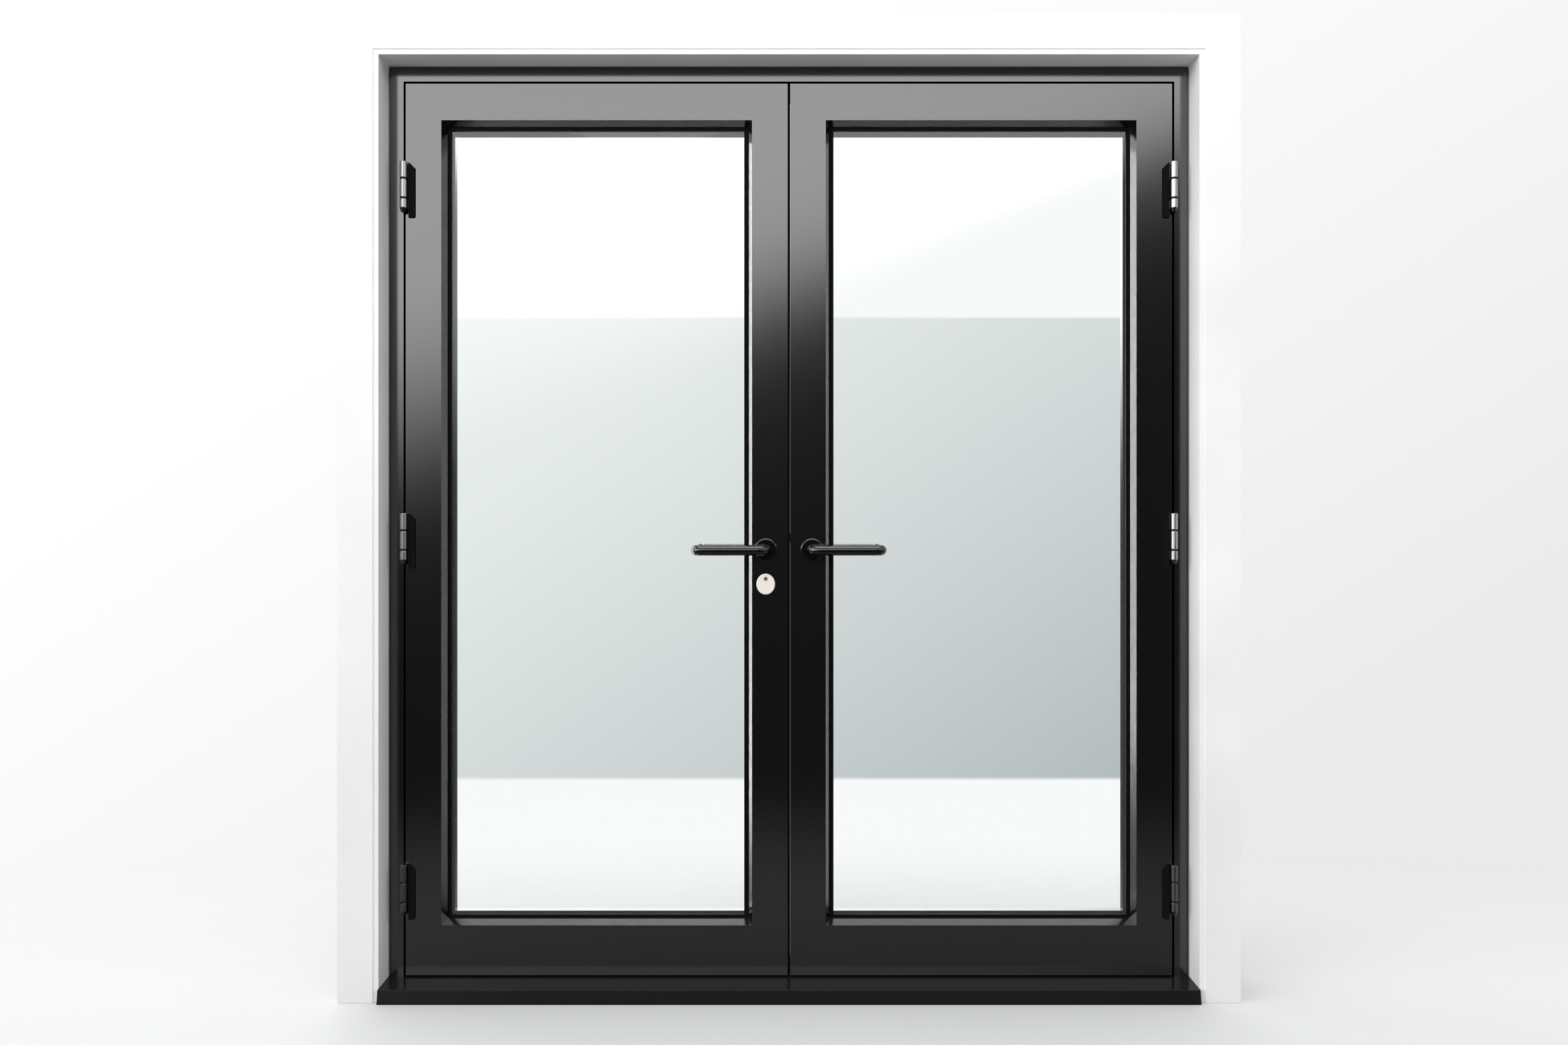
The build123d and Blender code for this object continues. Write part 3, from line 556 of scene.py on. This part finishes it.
class DOORS_OT_brush(bpy.types.Operator):
    """Adds the brush that keeps draughts and light out of the gap between the leaves"""

    bl_idname = "doors.brush"
    bl_label = "Add meeting brush"

    def execute(self, context):
        low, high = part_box("left_lock_stile")
        fibre, tree, place, shader = start_material("brush_fibre")
        tufts = noise(tree, place, 1800.0, 2.0, (0.1, 1, 1))
        join(tree, blend(tree, tufts, FIBRE_DARK, FIBRE_PALE), shader.inputs["Base Color"])
        join(tree, maths(tree, "MULTIPLY_ADD", tufts, 0.2, 0.7), shader.inputs["Roughness"])
        bump = node(tree, "Bump", Height=tufts, Distance=0.0002, Strength=1.0)
        join(tree, bump.outputs[0], shader.inputs["Normal"])
        points = pile(low.z + BRUSH_END_GAP, high.z - BRUSH_END_GAP, high.x, high.x + BRUSH_WIDTH,
                      BRUSH_FRONT, BRUSH_BACK, TUFT_PITCH, TUFT_DEPTH)
        surface("meeting_brush", points, True, fibre, "left_leaf")
        return {"FINISHED"}


def flat_sheet(half, columns, height):
    """A level sheet: x and y run evenly from -half to half, and z is the height throughout."""
    x, y = np.meshgrid(np.linspace(-half, half, columns), np.linspace(-half, half, columns), indexing="xy")
    return np.stack([x, y, np.full_like(x, height)], -1)


def finish_floor(floor, pale):
    """Gives the floor a plain pale colour that is darker in reflections and soft light, and fades it out to
    the backdrop."""
    made, tree, place, shader = start_material("pale_floor")
    x, y, _ = node(tree, "SeparateXYZ", place).outputs
    soft = noise(tree, place, 1.5, 2.0)
    seen = blend(tree, soft, tuple(0.99 * c for c in pale), pale)
    path = tree.nodes.new("ShaderNodeLightPath").outputs
    shown = maths(tree, "MAXIMUM", path["Is Camera Ray"], path["Is Transmission Ray"])
    unseen = tuple(UNSEEN_FLOOR * c for c in pale)
    join(tree, blend(tree, shown, unseen, seen), shader.inputs["Base Color"])
    shader.inputs["Roughness"].default_value = 0.6
    shader.inputs["Specular IOR Level"].default_value = 0.1
    clear = node(tree, "BsdfTransparent").outputs[0]
    aside = maths(tree, "MULTIPLY", x, FLOOR_SIDEWAYS)
    behind = maths(tree, "MULTIPLY", y, FLOOR_BACKWARD)
    away = maths(tree, "MAXIMUM", behind, maths(tree, "SUBTRACT", FLOOR_FRONT, y))
    reach = maths(tree, "SQRT", maths(tree, "ADD", maths(tree, "MULTIPLY", aside, aside),
                                      maths(tree, "MULTIPLY", away, away)))
    mixed = node(tree, "MixShader", ramp(tree, reach, *FLOOR_FADE), shader.outputs[0], clear).outputs[0]
    join(tree, mixed, tree.nodes["Material Output"].inputs[0])
    floor.data.materials.append(made)


def light_strength(tree, studio, path, x, y, z):
    """Strength of the light by its direction: bright above a soft edge at eye level that rises to the
    right, with a soft light at each side. Only gloss sees the strips and the roof, and only soft
    reflections the ground."""
    aside = node(tree, "Clamp", x, -EDGE_REACH, EDGE_REACH).outputs[0]
    edge = maths(tree, "MULTIPLY_ADD", aside, EDGE_SLOPE, EDGE_HEIGHT)
    softness = maths(tree, "MULTIPLY_ADD", aside, EDGE_SHARPENS, EDGE_SOFTNESS)
    softness = maths(tree, "MAXIMUM", softness, LEAST_SOFTNESS)
    above = ramp(tree, maths(tree, "DIVIDE", maths(tree, "SUBTRACT", z, edge), softness), -1.0, 1.0)
    crown = maths(tree, "MULTIPLY_ADD", ramp(tree, z, *CROWN_HEIGHTS), -CROWN_LOSS, 1.0)
    upper = maths(tree, "MULTIPLY", above, crown)
    total = maths(tree, "MULTIPLY_ADD", upper, studio.overhead, studio.shade)

    gloss = path["Is Glossy Ray"]
    strips = maths(tree, "MAXIMUM", ramp(tree, y, *BACK_STRIP), ramp(tree, x, *LEFT_STRIP))
    strips = maths(tree, "MULTIPLY", maths(tree, "MULTIPLY", strips, gloss), studio.strip)
    left = maths(tree, "ADD", strips, studio.side)
    roof = maths(tree, "MULTIPLY_ADD", ramp(tree, z, *ROOF_MIDDLE), -ROOF_LOSS, 1.0)
    roof = maths(tree, "MULTIPLY", maths(tree, "MULTIPLY", roof, ramp(tree, z, *ROOF_EDGE)), gloss)
    total = maths(tree, "MULTIPLY_ADD", roof, ROOF_GAIN * studio.strip, total)

    low = maths(tree, "MULTIPLY", ramp(tree, z, *SIDE_FOOT), ramp(tree, z, *SIDE_TOP))
    for way, strength in ((-1.0, left), (1.0, studio.opposite)):
        beside = ramp(tree, maths(tree, "MULTIPLY", x, way), *SIDE_LIGHT)
        total = maths(tree, "MULTIPLY_ADD", maths(tree, "MULTIPLY", low, beside), strength, total)
    below = maths(tree, "MULTIPLY", ramp(tree, z, *GROUND_LIGHT), path["Is Diffuse Ray"])
    return maths(tree, "MULTIPLY_ADD", below, studio.ground, total)


def view_through_panes(tree, x, y, rise, sweep):
    """Colour behind the glass: a band between two heights, greyer to the right and lower down, and white
    round it."""
    band = maths(tree, "MULTIPLY", ramp(tree, rise, *BAND_FOOT), ramp(tree, rise, *BAND_TOP))
    within = ramp(tree, maths(tree, "ABSOLUTE", x), *BAND_ENDS)
    band = maths(tree, "MULTIPLY", band, maths(tree, "MULTIPLY", within, ramp(tree, y, *BAND_FRONT)))
    down = maths(tree, "MULTIPLY_ADD", rise, GREY_RISE, GREY_START)
    tone = maths(tree, "MULTIPLY_ADD", sweep, GREY_SWEEP, down, clamp=True)
    return blend(tree, band, WHITE, blend(tree, tone, BAND_PALE, BAND_GREY))


def backdrop(tree, rise, sweep):
    """Colour round the doors as the camera sees it: white, with painted shade that makes it slightly duller
    low down and at the right.
    """
    fall = maths(tree, "MULTIPLY_ADD", rise, DULL_RISE, DULL_START)
    dull = maths(tree, "MULTIPLY_ADD", sweep, DULL_SWEEP, fall, clamp=True)
    return blend(tree, maths(tree, "MINIMUM", dull, DULL_MOST), WHITE, BACKDROP_SHADE_COLOUR)


def build_world(scene, studio):
    """The world shows its light to surfaces, the view behind the panes to rays through glass, and the
    backdrop to the camera."""
    world = bpy.data.worlds.new("studio")
    scene.world = world
    world.use_nodes = True
    tree = world.node_tree
    tree.nodes.clear()
    facing = tree.nodes.new("ShaderNodeTexCoord").outputs["Generated"]
    x, y, z = node(tree, "SeparateXYZ", facing).outputs
    path = tree.nodes.new("ShaderNodeLightPath").outputs
    ahead = maths(tree, "MAXIMUM", maths(tree, "ABSOLUTE", y), LEAST_AHEAD)
    rise = maths(tree, "DIVIDE", z, ahead)
    sweep = maths(tree, "DIVIDE", x, ahead)
    strength = light_strength(tree, studio, path, x, y, z)
    light = node(tree, "Background", (*WHITE, 1), strength).outputs[0]
    glare = maths(tree, "MULTIPLY_ADD", ramp(tree, x, *GLARE_BEGINS), GLARE_GAIN, 1.0)
    beyond = node(tree, "Background", view_through_panes(tree, x, y, rise, sweep), glare).outputs[0]
    white = node(tree, "Background", backdrop(tree, rise, sweep), 1.0).outputs[0]
    mixed = node(tree, "MixShader", path["Is Transmission Ray"], light, beyond).outputs[0]
    mixed = node(tree, "MixShader", path["Is Camera Ray"], mixed, white).outputs[0]
    join(tree, mixed, tree.nodes.new("ShaderNodeOutputWorld").inputs[0])


def hang_lamp(scene, power):
    """A large round lamp above and in front of the doors that reflections don't show."""
    data = bpy.data.lights.new("lamp", "AREA")
    data.shape = "DISK"
    data.size = LAMP_SIZE
    data.energy = power
    lamp = bpy.data.objects.new("lamp", data)
    scene.collection.objects.link(lamp)
    lamp.visible_glossy = False
    lamp.location = LAMP_PLACE
    lamp.rotation_euler = (Vector(LAMP_AIM) - lamp.location).to_track_quat("-Z", "Y").to_euler()


class DOORS_OT_stage(bpy.types.Operator):
    """Lays the pale floor, and lights the doors from above, from both sides and from below"""

    bl_idname = "doors.stage"
    bl_label = "Set up floor and light"

    def execute(self, context):
        studio = context.scene.door_studio
        sheet = flat_sheet(studio.floor_radius, FLOOR_POINTS, FLOOR_HEIGHT)
        floor = surface("floor", sheet, False, None, "")
        finish_floor(floor, tuple(studio.floor_colour))
        build_world(context.scene, studio)
        hang_lamp(context.scene, studio.lamp)
        context.scene.view_settings.view_transform = "Standard"
        return {"FINISHED"}


class DOORS_OT_camera(bpy.types.Operator):
    """Sets the camera straight in front of the doors"""

    bl_idname = "doors.camera"
    bl_label = "Set up camera"

    def execute(self, context):
        place = context.scene.door_camera
        data = bpy.data.cameras.new("camera")
        made = bpy.data.objects.new("camera", data)
        context.scene.collection.objects.link(made)
        made.location = place.place
        made.rotation_euler = (pi / 2, 0, 0)
        data.sensor_width = FILM_WIDTH
        data.lens = place.lens
        data.shift_x = place.shift_x
        data.shift_y = place.shift_y
        data.clip_start = NEAREST
        context.scene.camera = made
        return {"FINISHED"}


OPERATORS = [
    DOORS_OT_casing, DOORS_OT_coat, DOORS_OT_glaze, DOORS_OT_hinges, DOORS_OT_levers, DOORS_OT_lock,
    DOORS_OT_brush, DOORS_OT_stage, DOORS_OT_camera,
]


class DOORS_PT_sidebar(bpy.types.Panel):
    """Lists the steps and their sizes and colours"""

    bl_idname = "DOORS_PT_sidebar"
    bl_label = "French doors"
    bl_space_type = "VIEW_3D"
    bl_region_type = "UI"
    bl_category = "French doors"

    def draw(self, context):
        for group in (context.scene.door_finishes, context.scene.door_studio, context.scene.door_camera):
            for name in group.bl_rna.properties.keys():
                if name not in ("rna_type", "name"):
                    self.layout.prop(group, name)
        for operator in OPERATORS:
            self.layout.operator(operator.bl_idname)


GROUPS = {"door_finishes": DoorFinishes, "door_studio": DoorStudio, "door_camera": DoorCamera}


def register():
    for made in (*GROUPS.values(), *OPERATORS, DOORS_PT_sidebar):
        bpy.utils.register_class(made)
    for name, group in GROUPS.items():
        setattr(bpy.types.Scene, name, bpy.props.PointerProperty(type=group))


def unregister():
    for name in GROUPS:
        delattr(bpy.types.Scene, name)
    for made in (DOORS_PT_sidebar, *reversed(OPERATORS), *reversed(GROUPS.values())):
        bpy.utils.unregister_class(made)


def main():
    """Runs every step in order."""
    register()
    for operator in OPERATORS:
        family, name = operator.bl_idname.split(".")
        getattr(getattr(bpy.ops, family), name)()


if __name__ == "__main__":
    main()
